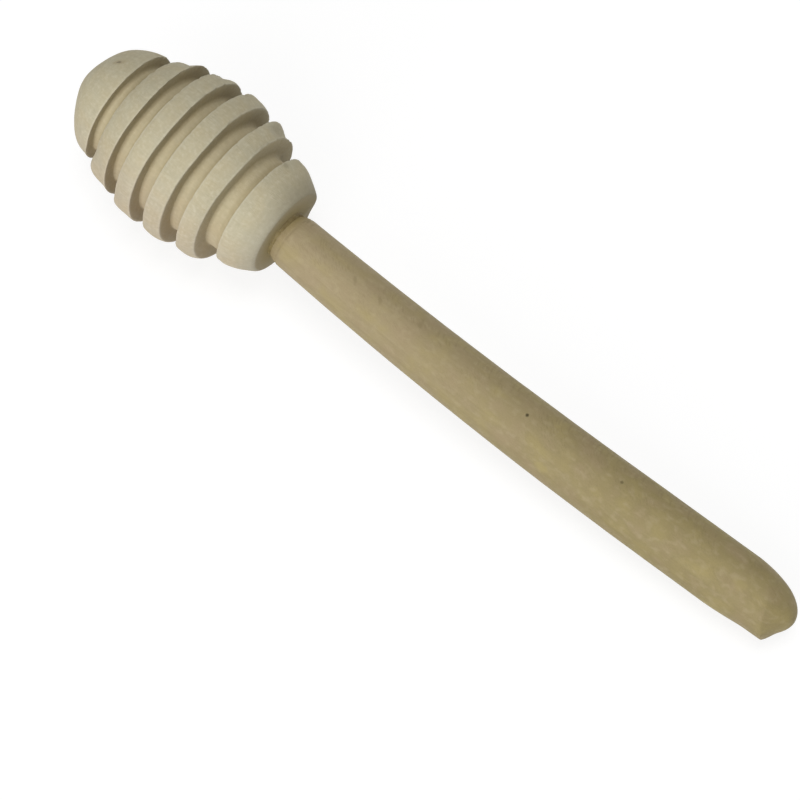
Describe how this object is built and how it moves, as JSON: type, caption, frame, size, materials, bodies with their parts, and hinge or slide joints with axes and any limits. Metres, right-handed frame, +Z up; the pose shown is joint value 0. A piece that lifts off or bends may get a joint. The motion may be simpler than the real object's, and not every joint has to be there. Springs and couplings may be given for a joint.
{
  "type": "honey dipper",
  "caption": "Turned wooden honey dipper: a grooved egg-shaped head glued on the tenon of a slim round handle with a slight bow and a rounded end.",
  "frame": {"origin": "on the surface that the dipper lies on, under the middle of its length and midway across", "axes": "+X along the dipper from its head to the free end of the handle, +Z up as it lies at rest on its widest ring and on the end of its handle"},
  "size_m": [0.1596, 0.031, 0.0314],
  "materials": {
    "pale_wood": "turned and sanded, bare, matt",
    "yellow_wood": "sanded dowel, bare, matt",
    "dried_glue": "dried, slightly glossy"
  },
  "bodies": {
    "root": {"dipper_head": "pale_wood", "handle": "yellow_wood", "glue": "dried_glue"}
  },
  "joints": []
}
